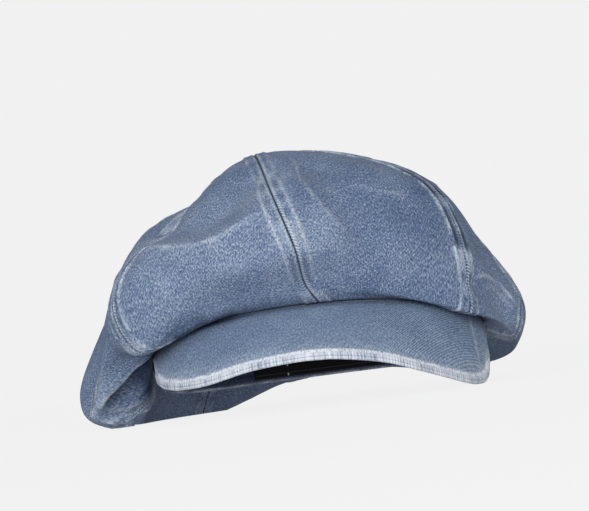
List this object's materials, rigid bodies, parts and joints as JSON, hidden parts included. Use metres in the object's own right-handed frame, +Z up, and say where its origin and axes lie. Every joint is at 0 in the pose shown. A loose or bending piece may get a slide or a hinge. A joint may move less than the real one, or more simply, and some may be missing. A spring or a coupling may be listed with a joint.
{
  "type": "painter hat",
  "caption": "Soft slouchy peaked cap in washed blue denim: leaf-shaped crown panels sewn to a head ring, inner band, black back tape and a short curved peak.",
  "frame": {"origin": "middle of the cap's outline seen from above, on the surface that the cap rests on", "axes": "+Z up, +Y towards the back of the cap, peak towards -Y, +X to the right as seen from the front"},
  "size_m": [0.267, 0.2672, 0.1475],
  "materials": {
    "crown_denim": "stone-washed mid-blue cotton twill, matt, heathered, worn pale along the seams",
    "band_denim": "darker unworn blue cotton twill, matt",
    "black_tape": "black woven elastic tape, matt",
    "peak_denim": "stone-washed blue cotton twill with a faded, ribbed, nearly white edge"
  },
  "bodies": {
    "root": {"crown_panel_back_left": "crown_denim", "crown_panel_side_left_back": "crown_denim", "crown_panel_side_left_front": "crown_denim", "crown_panel_front_left": "crown_denim", "crown_panel_front_right": "crown_denim", "crown_panel_side_right_front": "crown_denim", "crown_panel_side_right_back": "crown_denim", "crown_panel_back_right": "crown_denim", "headband": "band_denim", "back_elastic": "black_tape", "peak_upper": "peak_denim", "peak_under": "peak_denim"}
  },
  "joints": []
}
